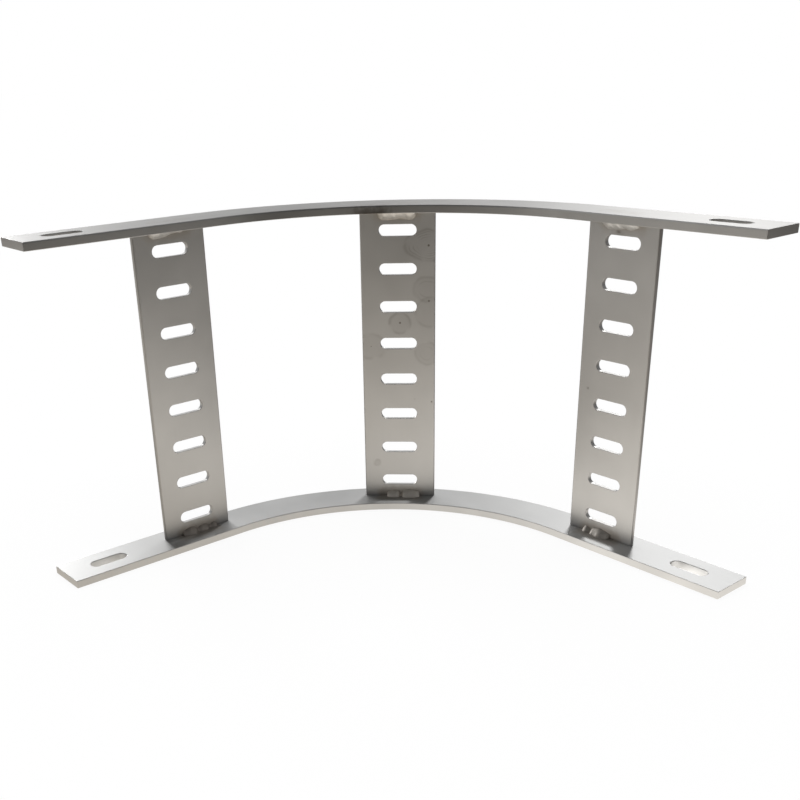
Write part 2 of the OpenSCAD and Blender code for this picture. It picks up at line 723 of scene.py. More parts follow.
class Clouding(Effect):
    """Broad and fine unevenness of a rolled and handled surface."""

    name = "clouding"
    inputs = {"Place": ORIGIN, "Size": 50 * MM}
    outputs = ("Broad", "Fine")
    fine_scale = 7.0

    def draw(self, graph: Graph, given: dict[str, Socket]) -> tuple[Socket, ...]:
        """Draws two noises over the place divided by the size, the second on a finer scale.

        Args:
            graph: the group's own graph.
            given: the group's inputs by name.

        Returns:
            The broad and the fine unevenness.
        """
        size = graph.joined(given["Size"], given["Size"], given["Size"])
        place = graph.vector("DIVIDE", given["Place"], size)
        return graph.noise(place, 1.0), graph.noise(place, self.fine_scale, detail=4.0, rough=0.6)


class EdgeWear(Effect):
    """Rubbed long edges of a bar."""

    name = "edge_wear"
    inputs = {"Bar": ORIGIN, "Half Width": 25 * MM, "Half Depth": 1.5 * MM, "Reach": 1 * MM}
    outputs = ("Wear",)
    noise_scale = 180.0
    swing = 0.8

    def draw(self, graph: Graph, given: dict[str, Socket]) -> tuple[Socket, ...]:
        """Draws what is full at an edge and gone a reach away, with the reach broken up by noise.

        Args:
            graph: the group's own graph.
            given: the group's inputs by name.

        Returns:
            The wear.
        """
        _, across, through = graph.parts(given["Bar"])
        side = graph.math("SUBTRACT", given["Half Width"], graph.math("ABSOLUTE", across))
        face = graph.math("SUBTRACT", given["Half Depth"], graph.math("ABSOLUTE", through))
        away = graph.math("MAXIMUM", side, face)
        reach = graph.ragged(given["Reach"], given["Bar"], self.noise_scale, self.swing)
        return (graph.ramp(away, 0.0, reach, 1.0, 0.0),)


class CutSides(Effect):
    """Narrow side faces of a bar, which the cutting leaves smoother than its rolled faces."""

    name = "cut_sides"
    inputs = {"Bar": ORIGIN, "Half Length": 100 * MM, "Half Width": 25 * MM, "Depth": 0.4 * MM}
    outputs = ("Side",)

    def draw(self, graph: Graph, given: dict[str, Socket]) -> tuple[Socket, ...]:
        """Draws what is full on the outer skin of the bar's sides and ends, and gone a depth inside it.

        Args:
            graph: the group's own graph.
            given: the group's inputs by name.

        Returns:
            The sides' share.
        """
        along, across, _ = graph.parts(given["Bar"])
        from_side = graph.math("SUBTRACT", given["Half Width"], graph.math("ABSOLUTE", across))
        from_end = graph.math("SUBTRACT", given["Half Length"], graph.math("ABSOLUTE", along))
        inside = graph.math("MINIMUM", from_side, from_end)
        return (graph.ramp(inside, 0.0, given["Depth"], 1.0, 0.0),)


class DriedDrop(Effect):
    """Mark that a drop of water left: a dull patch with a broken rim, tide lines and a speck of dirt."""

    name = "dried_drop"
    inputs = {
        "Bar": ORIGIN,
        "Centre": ORIGIN,
        "Shape": (1.0, 1.0, 1.0),
        "Radius": 8 * MM,
        "Line": 1 * MM,
        "Tide": 2 * MM,
        "Speck": 0.6 * MM,
    }
    outputs = ("Rim", "Tides", "Fill", "Dirt")
    swirl_scale = 120.0
    rim_wander = 3 * MM
    speck_wander = 1 * MM
    speck_core = 0.5
    gap_scale = 95.0
    gaps = (0.36, 0.58)
    tide_start = (0.25, 0.6)
    tide_sharpness = 3.0

    def draw(self, graph: Graph, given: dict[str, Socket]) -> tuple[Socket, ...]:
        """Draws the rim as a bell curve over the depth inside the edge, and the tide lines as waves over it.

        Args:
            graph: the group's own graph.
            given: the group's inputs by name.

        Returns:
            The rim, the tide lines, the dull patch and the speck of dirt.
        """
        from_centre = graph.vector("SUBTRACT", given["Bar"], given["Centre"])
        away = graph.vector("LENGTH", graph.vector("DIVIDE", from_centre, given["Shape"]))
        swirl = graph.math("SUBTRACT", graph.noise(given["Bar"], self.swirl_scale), 0.5)
        uneven = graph.math("MULTIPLY_ADD", swirl, self.rim_wander, away)
        inside = graph.math("SUBTRACT", given["Radius"], uneven)
        rim = graph.bell((inside, 0.0, given["Line"]))
        broken = graph.ramp(graph.noise(given["Bar"], self.gap_scale, detail=1.0), *self.gaps)
        fill = graph.ramp(inside, 0.0, given["Line"])
        turns = graph.math("MULTIPLY", graph.math("DIVIDE", inside, given["Tide"]), 2 * math.pi)
        crest = graph.math("MULTIPLY_ADD", graph.math("COSINE", turns), 0.5, 0.5)
        low, high = (graph.math("MULTIPLY", given["Radius"], share) for share in self.tide_start)
        shown = graph.math("MULTIPLY", fill, graph.ramp(uneven, low, high))
        tides = graph.math("MULTIPLY", graph.math("POWER", crest, self.tide_sharpness), shown)
        ragged = graph.math("MULTIPLY_ADD", swirl, self.speck_wander, graph.vector("LENGTH", from_centre))
        core = graph.math("MULTIPLY", given["Speck"], self.speck_core)
        dirt = graph.ramp(ragged, core, given["Speck"], 1.0, 0.0)
        return graph.math("MULTIPLY", rim, broken), graph.math("MULTIPLY", tides, broken), fill, dirt


class WeldHalo(Effect):
    """Heat tint or soot round a place."""

    name = "weld_halo"
    inputs = {"Bar": ORIGIN, "Centre": ORIGIN, "Half": ORIGIN, "Reach": 6 * MM}
    outputs = ("Halo",)
    noise_scale = 260.0
    swing = 0.7

    def draw(self, graph: Graph, given: dict[str, Socket]) -> tuple[Socket, ...]:
        """Draws what is full on a box and gone a reach outside it, with the reach broken up by noise.

        Args:
            graph: the group's own graph.
            given: the group's inputs by name.

        Returns:
            The halo.
        """
        offset = graph.vector("ABSOLUTE", graph.vector("SUBTRACT", given["Bar"], given["Centre"]))
        outside = graph.vector("MAXIMUM", graph.vector("SUBTRACT", offset, given["Half"]), ORIGIN)
        reach = graph.ragged(given["Reach"], given["Bar"], self.noise_scale, self.swing)
        return (graph.ramp(graph.vector("LENGTH", outside), 0.0, reach, 1.0, 0.0),)


class Pits(Effect):
    """Scattered dark pits and specks of dirt."""

    name = "pits"
    inputs = {"Place": ORIGIN, "Spacing": 12 * MM, "Radius": 0.4 * MM, "Share": 0.3}
    outputs = ("Pit",)
    core = 0.4

    def draw(self, graph: Graph, given: dict[str, Socket]) -> tuple[Socket, ...]:
        """Draws dots at the middles of some of the cells of a Voronoi pattern.

        Args:
            graph: the group's own graph.
            given: the group's inputs by name.

        Returns:
            The pits.
        """
        spacing = graph.joined(given["Spacing"], given["Spacing"], given["Spacing"])
        place = graph.vector("DIVIDE", given["Place"], spacing)
        cells = graph.node("ShaderNodeTexVoronoi", {"Vector": place, "Scale": 1.0, "Randomness": 1.0})
        away = graph.math("MULTIPLY", cells.outputs["Distance"], given["Spacing"])
        core = graph.math("MULTIPLY", given["Radius"], self.core)
        dot = graph.ramp(away, core, given["Radius"], 1.0, 0.0)
        draw, _, _ = graph.parts(cells.outputs["Color"])
        return (graph.math("MULTIPLY", dot, graph.math("LESS_THAN", draw, given["Share"])),)


@dataclass(frozen=True)
class Drop:
    """Dried drop on a rung: its place and its sizes, in metres, and the strength of its marks."""

    along: float
    across: float
    radius: float
    stretch: float = 1.0
    rim: float = 0.2
    tides: float = 0.0
    fill: float = 0.05
    speck: float = 0.0
    line: float = 0.8 * MM
    tide: float = 1.5 * MM


@dataclass(frozen=True)
class Halo:
    """Tinted place: its middle along, across and over the bar's face, and its half sizes, in metres."""

    along: float
    across: float
    half_along: float
    half_across: float
    over: float = 0.0


@dataclass(frozen=True)
class SatinSteel:
    """Satin stainless steel bar: rolled streaks, uneven lustre, rubbed edges, specks, weld tint that also
    paints shade at the rungs' feet, and soot.
    """

    name: str
    length: float
    width: float
    depth: float
    colour: Colour
    roughness: float
    side_roughness: float
    side_shade: float
    face: float
    halos: tuple[Halo, ...]
    drops: tuple[Drop, ...] = ()
    soots: tuple[Halo, ...] = ()
    tint: Colour = (0.40, 0.34, 0.27)
    dirt: Colour = (0.16, 0.14, 0.12)
    lustre: tuple[float, float] = (0.93, 1.05)
    cloud_size: float = 45 * MM
    cloud_range: tuple[float, float] = (0.3, 0.7)
    cloud_roughness: float = 0.10
    cloud_relief: float = 0.015 * MM
    streak: float = 40 * MM
    line: float = 0.25 * MM
    grain_roughness: float = 0.10
    grain_relief: float = 0.0012 * MM
    edge_reach: float = 0.9 * MM
    edge_polish: float = 0.04
    halo_reach: float = 7 * MM
    # Share of the weld tint, strong enough that it also paints shade on the rails in front of the rungs'
    # feet and on the feet
    weld_tint_and_shade_share: float = 0.42
    halo_roughness: float = 0.08
    soot_reach: float = 13 * MM
    soot_share: float = 1.1
    pit_spacing: float = 13 * MM
    pit_radius: float = 0.35 * MM
    pit_frequency: float = 0.12
    pit_share: float = 0.5
    drop_depth: float = 0.05
    speck_share: float = 0.8

    def dirtied(self, graph: Graph, mask: Number, share: float, colour: Socket) -> Socket:
        """Colour with a share of dirt on it, where a mask is full."""
        return graph.blend(graph.math("MULTIPLY", mask, share), colour, (*self.dirt, 1.0))

    def stained(self, graph: Graph, bar: Socket, colour: Socket) -> Socket:
        """Colour with this bar's dried drops on it.

        Args:
            graph: the material's graph.
            bar: the surface's bar coordinates.
            colour: the clean steel's colour.

        Returns:
            The stained colour.
        """
        for drop in self.drops:
            mark = DriedDrop().place(
                graph,
                Bar=bar,
                Centre=(drop.along, drop.across, self.face),
                Shape=(1.0, drop.stretch, self.drop_depth),
                Radius=drop.radius,
                Line=drop.line,
                Tide=drop.tide,
                Speck=drop.speck,
            )
            speck_share = self.speck_share if drop.speck else 0.0
            shares = {"Fill": drop.fill, "Tides": drop.tides, "Rim": drop.rim, "Dirt": speck_share}
            for output, share in shares.items():
                if share:
                    colour = self.dirtied(graph, mark[output], share, colour)
        return colour

    def near(self, graph: Graph, bar: Socket, places: tuple[Halo, ...], reach: float) -> Number:
        """Share that is full at some places on the bar and fades out over a reach about each.

        Args:
            graph: the material's graph.
            bar: the surface's bar coordinates.
            places: the places.
            reach: how far the share fades out, in metres.

        Returns:
            The largest share of all the places.
        """
        share = 0.0
        for place in places:
            mask = WeldHalo().place(
                graph,
                Bar=bar,
                Centre=(place.along, place.across, self.face + place.over),
                Half=(place.half_along, place.half_across, 0.0),
                Reach=reach,
            )["Halo"]
            share = graph.math("MAXIMUM", share, mask)
        return share

    def material(self) -> bpy.types.Material:
        """Makes the material of this finish.

        Returns:
            The material.
        """
        made = bpy.data.materials.new(self.name)
        graph = Graph.of(made)
        bar = graph.node("ShaderNodeAttribute", attribute_name=BAR_ATTRIBUTE).outputs["Vector"]
        place = graph.node("ShaderNodeTexCoord").outputs["Object"]
        half_length, half_width, half_depth = self.length / 2, self.width / 2, self.depth / 2
        clouds = Clouding().place(graph, Place=place, Size=self.cloud_size)
        grain = RolledGrain().place(graph, Bar=bar, Streak=self.streak, Line=self.line)["Grain"]
        wear = EdgeWear().place(
            graph, Bar=bar, Half_Width=half_width, Half_Depth=half_depth, Reach=self.edge_reach
        )["Wear"]
        side = CutSides().place(
            graph, Bar=bar, Half_Length=half_length, Half_Width=half_width, Depth=self.edge_reach / 2
        )["Side"]
        pit = Pits().place(
            graph, Place=place, Spacing=self.pit_spacing, Radius=self.pit_radius, Share=self.pit_frequency
        )["Pit"]
        tint_and_shade_mask = self.near(graph, bar, self.halos, self.halo_reach)
        # Colour: clouds, weld tint that also paints shade at the rungs' feet, pits, drops and soot, and the
        # darker cut sides over them all
        dull, bright = ((*(gain * c for c in self.colour), 1.0) for gain in self.lustre)
        colour = graph.blend(graph.ramp(clouds["Broad"], *self.cloud_range), dull, bright)
        # Weld heat tint, which also paints shade on the rail in front of each rung's foot and on the foot
        # itself
        colour = graph.blend(graph.math("MULTIPLY", tint_and_shade_mask, self.weld_tint_and_shade_share), colour, (*self.tint, 1.0))
        colour = self.dirtied(graph, pit, self.pit_share, colour)
        colour = self.stained(graph, bar, colour)
        if self.soots:
            soot = self.near(graph, bar, self.soots, self.soot_reach)
            colour = self.dirtied(graph, soot, self.soot_share, colour)
        colour = self.dirtied(graph, side, self.side_shade, colour)
        # Roughness: the faces' or the sides', made uneven by clouds, grain, weld tint and rubbed edges
        least = self.roughness - self.cloud_roughness / 2
        rough = graph.math("MULTIPLY_ADD", side, self.side_roughness - self.roughness, least)
        rough = graph.math("MULTIPLY_ADD", clouds["Broad"], self.cloud_roughness, rough)
        rough = graph.math("MULTIPLY_ADD", graph.math("SUBTRACT", grain, 0.5), self.grain_roughness, rough)
        rough = graph.math("MULTIPLY_ADD", tint_and_shade_mask, self.halo_roughness, rough)
        rough = graph.math("MULTIPLY_ADD", wear, -self.edge_polish, rough, clamp=True)
        broad = graph.math("MULTIPLY", clouds["Broad"], self.cloud_relief)
        graph.metal(colour, rough, graph.math("MULTIPLY_ADD", grain, self.grain_relief, broad))
        return made


@dataclass(frozen=True)
class WeldMetal:
    """Weld metal, left as laid: a bead that is tinted towards its toes."""

    name: str
    colour: Colour
    tint: Colour
    roughness: float
    cloud_size: float = 6 * MM
    toe_range: tuple[float, float] = (0.3, 0.52)
    toe_heat: float = 0.8
    crown_heat: float = 0.35
    fine_roughness: float = 0.2
    relief: float = 0.04 * MM

    def material(self) -> bpy.types.Material:
        """Finds the material of this finish, or makes it on first use.

        Returns:
            The material.
        """
        known = bpy.data.materials.get(self.name)
        if known:
            return known
        made = bpy.data.materials.new(self.name)
        graph = Graph.of(made)
        bead = graph.node("ShaderNodeAttribute", attribute_name=BAR_ATTRIBUTE).outputs["Vector"]
        place = graph.node("ShaderNodeTexCoord").outputs["Object"]
        clouds = Clouding().place(graph, Place=place, Size=self.cloud_size)
        _, around, _ = graph.parts(bead)
        from_crown = graph.math("ABSOLUTE", graph.math("SUBTRACT", around, 0.5))
        toe = graph.ramp(from_crown, *self.toe_range)
        heat = graph.math("MULTIPLY_ADD", toe, self.toe_heat, self.crown_heat)
        burnt = graph.math("MULTIPLY", clouds["Broad"], heat, clamp=True)
        colour = graph.blend(burnt, (*self.colour, 1.0), (*self.tint, 1.0))
        least = self.roughness - self.fine_roughness / 2
        rough = graph.math("MULTIPLY_ADD", clouds["Fine"], self.fine_roughness, least)
        graph.metal(colour, rough, graph.math("MULTIPLY", clouds["Fine"], self.relief))
        return made


@dataclass
class SideRail:
    """Flat bar curved the hard way, with a straight slotted leg at each end."""

    sizes: BendSizes
    level: Level
    edge: float = 0.25 * MM
    edge_over: float = 1.0 * MM
    edge_under: float = 0.3 * MM
    end_edge: float = 0.25 * MM
    lip: float = 0.4 * MM
    slot_cell: float = 18 * MM
    step_along: float = 3 * MM
    lower_colour: Colour = (0.575, 0.575, 0.57)
    # Painted shade: the upper rail's steel is darker than the lower rail's
    upper_shaded_colour: Colour = (0.522, 0.517, 0.507)
    roughness: float = 0.54
    side_roughness: float = 0.34
    side_shade: float = 0.04
    soot_along: float = -17 * MM
    soot_half: float = 5 * MM
    soot_under: float = 4 * MM

    @property
    def name(self) -> str:
        """Name of the rail's node."""
        return f"{self.level.value}_rail"

    def bar(self) -> FlatBar:
        """Sets out the rail's bar before it is curved, with a slot near each end.

        Returns:
            The straight bar.
        """
        sizes = self.sizes
        length, width = sizes.rail_slot_length, sizes.rail_slot_width
        slots = []
        for way in (-1, 1):
            middle = way * (sizes.rail_length / 2 - sizes.rail_slot_from_end)
            cell = (middle - self.slot_cell, middle + self.slot_cell)
            slots.append(Slot(middle, length, width, SlotRun.LENGTHWISE, cell))
        return FlatBar(
            length=sizes.rail_length,
            width=sizes.rail_width,
            thickness=sizes.rail_thickness,
            edge=self.edge,
            edge_over=self.edge_over,
            edge_under=self.edge_under,
            end_edge=self.end_edge,
            lip_over=self.lip,
            lip_under=self.lip,
            slots=tuple(slots),
            step_along=self.step_along,
        )

    def curved(self, surface: Surface) -> tuple[np.ndarray, np.ndarray]:
        """Bends the bar the hard way.

        A point's place along the bar gives its angle round the curve, up to the half turn, and what is left
        runs straight on along the leg. Its place across the bar adds to the curve's radius.

        Args:
            surface: the straight bar.

        Returns:
            The points and the normals after the bend, in the part's frame.
        """
        sizes = self.sizes
        along, across, through = surface.points.T
        turn = np.clip(along / sizes.centre_radius, -sizes.half_angle, sizes.half_angle)
        beyond = along - turn * sizes.centre_radius
        radius = sizes.centre_radius + across
        sin, cos = np.sin(turn), np.cos(turn)
        x = radius * sin + beyond * cos
        y = radius * cos - beyond * sin - sizes.middle_y
        height = sizes.base(self.level) + sizes.rail_thickness / 2 + through
        lengthwise, sideways, upwards = surface.normals.T
        normal_x = lengthwise * cos + sideways * sin
        normal_y = sideways * cos - lengthwise * sin
        return np.stack([x, y, height], 1), np.stack([normal_x, normal_y, upwards], 1)

    def finish(self) -> SatinSteel:
        """Sets out the rail's steel, tinted at its three welds on the face that the rungs meet, with the
        tint also painting shade in front of the rungs' feet; the upper rail's darker steel is painted shade.

        The upper rail also has a soot mark on the lower edge of its front, beside its middle weld.

        Returns:
            The finish.
        """
        sizes = self.sizes
        lower = self.level is Level.LOWER
        outer = sizes.centre_radius * sizes.half_angle + sizes.rung_along(Side.RIGHT)
        half_leg, half_length = sizes.weld_leg / 2, sizes.weld_length / 2
        soot = Halo(self.soot_along, -sizes.rail_width / 2, self.soot_half, 0.0, -self.soot_under)
        return SatinSteel(
            name=f"{self.name}_steel",
            length=sizes.rail_length,
            width=sizes.rail_width,
            depth=sizes.rail_thickness,
            colour=self.lower_colour if lower else self.upper_shaded_colour,
            roughness=self.roughness,
            side_roughness=self.side_roughness,
            side_shade=self.side_shade,
            face=sizes.rail_thickness / 2 if lower else -sizes.rail_thickness / 2,
            halos=tuple(Halo(side.value * outer, -half_leg, half_length, half_leg) for side in Side),
            soots=() if lower else (soot,),
        )

    def build(self) -> bpy.types.Object:
        """Builds and dresses the rail.

        Returns:
            The rail's object.
        """
        flat = self.bar().surface()
        points, normals = self.curved(flat)
        piece = Surface(points, normals, flat.quads, flat.caps).mesh_object(f"{self.name}_bar", flat.points)
        piece.data.materials.append(self.finish().material())
        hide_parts(self.name)
        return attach(piece, BODY)


@dataclass
class Rung:
    """Slotted flat strip that stands between the rails."""

    sizes: BendSizes
    side: Side
    drops: tuple[Drop, ...] = ()
    edge: float = 0.9 * MM
    edge_over: float = 0.5 * MM
    edge_under: float = 0.9 * MM
    end_edge: float = 0.3 * MM
    lip: float = 0.25 * MM
    step_along: float = 2.1 * MM
    steps_across: int = 24
    colour: Colour = (0.55, 0.545, 0.535)
    roughness: float = 0.46
    side_roughness: float = 0.42
    side_shade: float = 0.25

    @property
    def name(self) -> str:
        """Name of the rung's node."""
        return f"{self.side.name.lower()}_rung"

    def bar(self) -> FlatBar:
        """Sets out the rung's strip, lying in its own coordinates, with its row of slots.

        Returns:
            The strip.
        """
        sizes = self.sizes
        length, width = sizes.rung_slot_length, sizes.rung_slot_width
        count = int(sizes.tray_width // sizes.rung_slot_pitch)
        half = sizes.rung_slot_pitch / 2
        slots = []
        for i in range(count):
            middle = (i - (count - 1) / 2) * sizes.rung_slot_pitch
            cell = (middle - half, middle + half)
            slots.append(Slot(middle, length, width, SlotRun.CROSSWISE, cell))
        return FlatBar(
            length=sizes.tray_width,
            width=sizes.rung_width,
            thickness=sizes.rung_thickness,
            edge=self.edge,
            edge_over=self.edge_over,
            edge_under=self.edge_under,
            end_edge=self.end_edge,
            lip_over=self.lip,
            lip_under=self.lip,
            slots=tuple(slots),
            step_along=self.step_along,
            steps_across=self.steps_across,
        )

    def finish(self) -> SatinSteel:
        """Sets out the rung's steel, tinted at the weld at each end, where the tint also paints shade at its
        foot, with its dried drops.

        Returns:
            The finish.
        """
        sizes = self.sizes
        half_leg, half_length = sizes.weld_leg / 2, sizes.weld_length / 2
        return SatinSteel(
            name=f"{self.name}_steel",
            length=sizes.tray_width,
            width=sizes.rung_width,
            depth=sizes.rung_thickness,
            colour=self.colour,
            roughness=self.roughness,
            side_roughness=self.side_roughness,
            side_shade=self.side_shade,
            face=-sizes.rung_thickness / 2,
            halos=tuple(Halo(way * sizes.tray_width / 2, 0.0, half_leg, half_length) for way in (-1, 1)),
            drops=self.drops,
        )

    def build(self) -> bpy.types.Object:
        """Builds and dresses the rung, standing with its strip's upper face outwards.

        Returns:
            The rung's object.
        """
        sizes = self.sizes
        flat = self.bar().surface()
        along, across, through = flat.points.T
        height = sizes.rail_thickness + sizes.tray_width / 2 + along
        points = sizes.at_rung(self.side, across, sizes.rung_thickness / 2 + through, height)
        normals = sizes.turned(self.side, flat.normals[:, [1, 2, 0]])
        standing = Surface(points, normals, flat.quads, flat.caps)
        piece = standing.mesh_object(f"{self.name}_strip", flat.points)
        piece.data.materials.append(self.finish().material())
        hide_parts(self.name)
        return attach(piece, BODY)


@dataclass(frozen=True)
class Lump:
    """Swelling or sinking of a bead: its place along the bead, its share of the leg and its spread."""

    at: float
    gain: float
    spread: float


@dataclass
class WeldBead:
    """Hand-laid fillet weld in the corner between a rung's hollow face and a rail."""

    sizes: BendSizes
    side: Side
    level: Level
    start: float
    end: float
    metal: WeldMetal
    leg: float
    lumps: tuple[Lump, ...]
    fullness: float = 0.3
    end_shape: float = 4.5
    end_share: float = 0.06
    ripple: float = 0.006
    ripple_pitch: float = 2.3 * MM
    ripple_bow: float = 0.35
    unevenness: float = 0.02
    waves: tuple[float, float] = (9.0 * MM, 5.0 * MM)
    wave_slants: tuple[float, float] = (2.0, -3.3)
    short_wave_share: float = 0.6
    short_wave_phase: float = 1.7
    toe_angle: float = math.radians(5)
    steps_along: int = 96
    steps_around: int = 20

    @property
    def name(self) -> str:
        """Name of the bead's node."""
        return f"{self.side.name.lower()}_{self.level.value}_weld"

    def reach(self, along: np.ndarray, around: np.ndarray) -> np.ndarray:
        """Distance of the bead's surface from its corner.

        It is the leg times a section between a flat fillet and a quarter round, times a round taper to the
        ends, times one plus the lumps' bell curves, times one plus ripples that bow along the bead and two
        slanting waves.

        Args:
            along: places along the bead.
            around: angles round the corner, from the rail to the rung.

        Returns:
            The distances.
        """
        share = np.clip((2 * along - self.start - self.end) / (self.end - self.start), -1, 1)
        taper = np.maximum((1 - np.abs(share) ** self.end_shape), 0) ** (1 / self.end_shape)
        size = self.end_share + (1 - self.end_share) * taper
        for lump in self.lumps:
            size = size * (1 + lump.gain * np.exp(-(((along - lump.at) / lump.spread) ** 2)))
        within = np.clip(around, 0, math.pi / 2)
        flat = 1 / (np.cos(within) + np.sin(within))
        section = (1 - self.fullness) * flat + self.fullness
        bow = self.ripple_bow * np.sin(2 * within)
        ripples = self.ripple * np.sin(2 * math.pi * (along / self.ripple_pitch + bow))
        long, short = (2 * math.pi * along / wave for wave in self.waves)
        long_slant, short_slant = self.wave_slants
        short_wave = np.sin(short + short_slant * around + self.short_wave_phase)
        waves = self.unevenness * (np.sin(long + long_slant * around) + self.short_wave_share * short_wave)
        return self.leg * size * section * (1 + ripples + waves)

    def surface(self) -> tuple[Surface, np.ndarray]:
        """Bead as one closed surface: the fillet's grid, closed behind at its corner and capped at its ends.

        Returns:
            The surface in the part's frame, and each point's place along and around the bead.
        """
        sizes = self.sizes
        share = np.linspace(-1, 1, self.steps_along + 1)
        along = (self.start + self.end) / 2 + (self.end - self.start) / 2 * np.sin(share * math.pi / 2)
        around = np.linspace(-self.toe_angle, math.pi / 2 + self.toe_angle, self.steps_around + 1)
        spot, angle = np.meshgrid(along, around, indexing="ij")
        reach = self.reach(spot, angle)
        front = np.stack([spot, -reach * np.cos(angle), reach * np.sin(angle)], -1)
        normals = np.cross(np.gradient(front, axis=0), np.gradient(front, axis=1))
        normals /= np.linalg.norm(normals, axis=-1, keepdims=True)
        outwards = np.stack([0 * spot, -np.cos(angle), np.sin(angle)], -1)
        normals *= np.sign((normals * outwards).sum(-1, keepdims=True))
        sunk = math.sin(self.toe_angle) * self.leg * self.end_share
        corner = np.stack([along, np.full_like(along, sunk), np.full_like(along, -sunk)], -1)[:, None]
        behind = np.broadcast_to(np.array([0.0, 1.0, -1.0]) / math.sqrt(2), corner.shape)
        points = np.concatenate([front, corner], axis=1)
        normals = np.concatenate([normals, behind], axis=1)
        upside = 1 if self.level is Level.LOWER else -1
        height = sizes.rung_end(self.level) + upside * points[..., 2]
        placed = sizes.at_rung(self.side, points[..., 0], points[..., 1], height)
        turned = sizes.turned(self.side, (normals * (1, 1, upside)).reshape(-1, 3)).reshape(normals.shape)
        bead = Surface.grid(placed, turned, flip=upside < 0, closed=True)
        rows, columns = points.shape[:2]
        first, last = np.arange(columns), np.arange((rows - 1) * columns, rows * columns)
        bead.caps += [first, last[::-1]] if upside > 0 else [first[::-1], last]
        local = np.zeros_like(points)
        local[..., 0] = along[:, None]
        local[..., 1] = np.append(around / (math.pi / 2), 0.5)[None]
        return bead, local.reshape(-1, 3)

    def build(self) -> bpy.types.Object:
        """Builds and dresses the bead.

        Returns:
            The bead's object.
        """
        bead, local = self.surface()
        piece = bead.mesh_object(f"{self.name}_bead", local)
        piece.data.materials.append(self.metal.material())
        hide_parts(self.name)
        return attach(piece, BODY)


@dataclass(frozen=True)
class PhotoCamera:
    """Camera at the photograph's viewpoint, with its lens and its framing in 800-pixel pictures."""

    eye: tuple[float, float, float] = (38.4 * MM, -634.7 * MM, 289.2 * MM)
    pitch: float = math.radians(25.213)
    roll: float = math.radians(1.925)
    yaw: float = math.radians(-6.301)
    focal_pixels: float = 1027.8
    principal_point: tuple[float, float] = (349.3, 553.3)
    clip: tuple[float, float] = (0.01, 100.0)

    def build(self) -> bpy.types.Object:
        """Makes the scene's camera.

        Returns:
            The camera.
        """
        data = bpy.data.cameras.new("camera")
        data.sensor_width = SENSOR_WIDTH
        data.lens = self.focal_pixels / IMAGE_SIDE * SENSOR_WIDTH
        data.shift_x = 0.5 - self.principal_point[0] / IMAGE_SIDE
        data.shift_y = self.principal_point[1] / IMAGE_SIDE - 0.5
        data.clip_start, data.clip_end = self.clip
        forward = Vector(
            (
                math.sin(self.yaw) * math.cos(self.pitch),
                math.cos(self.yaw) * math.cos(self.pitch),
                -math.sin(self.pitch),
            )
        )
        level = Vector((math.cos(self.yaw), -math.sin(self.yaw), 0.0))
        down = forward.cross(level)
        right = math.cos(self.roll) * level + math.sin(self.roll) * down
        up = right.cross(forward)
        turn = Matrix((right, up, -forward)).transposed().to_4x4()
        camera = added("camera", data)
        camera.matrix_world = Matrix.Translation(self.eye) @ turn
        bpy.context.scene.camera = camera
        return camera


@dataclass(frozen=True)
class Glow:
    """Soft light in the room: a bell curve over its bearing from +Y and its elevation, in degrees."""

    bearing: float
    elevation: float
    bearing_spread: float
    elevation_spread: float
    strength: float

    def light(self, graph: Graph, bearing: Socket, elevation: Socket) -> Socket:
        """Light of this glow in each direction.

        Args:
            graph: the world's graph.
            bearing: the direction's bearing, in radians.
            elevation: the direction's elevation, in radians.

        Returns:
            The glow's light.
        """
        bell = graph.bell(
            (bearing, math.radians(self.bearing), math.radians(self.bearing_spread)),
            (elevation, math.radians(self.elevation), math.radians(self.elevation_spread)),
        )
        return graph.math("MULTIPLY", bell, self.strength)


@dataclass(frozen=True)
class FloorPatch:
    """Soft light on the floor as metal sees it: a bell curve over its place, in metres, with a tint."""

    x: float
    y: float
    x_spread: float
    y_spread: float
    strength: float
    tint: FloorTint = FloorTint.PALE

    def light(self, graph: Graph, x: Socket, y: Socket, under: Triple) -> Socket:
        """Light of this patch, added to the light that is there.

        Args:
            graph: the floor's graph.
            x: the place on the floor.
            y: the same, towards the back.
            under: the light that is there.

        Returns:
            The light of both.
        """
        bell = graph.bell((x, self.x, self.x_spread), (y, self.y, self.y_spread))
        middle = tuple(self.strength * c for c in self.tint.value)
        return graph.vector("MULTIPLY_ADD", bell, middle, under)


@dataclass(frozen=True)
class Lamp:
    """Square studio lamp that faces the part: its place, its side and its light on the part's middle."""

    name: str
    place: tuple[float, float, float]
    side: float
    light: float
    aim: tuple[float, float, float] = (0.0, 0.0, 0.1)

    def build(self) -> bpy.types.Object:
        """Makes the lamp, which lights the steel but not the floor.

        Returns:
            The lamp.
        """
        data = bpy.data.lights.new(self.name, "AREA")
        data.shape = "SQUARE"
        data.size = self.side
        towards = Vector(self.aim) - Vector(self.place)
        data.energy = self.light * math.pi * towards.length_squared
        turn = towards.to_track_quat("-Z", "Y").to_matrix().to_4x4()
        lamp = added(self.name, data)
        lamp.matrix_world = Matrix.Translation(self.place) @ turn
        lamp.visible_diffuse = False
        return lamp


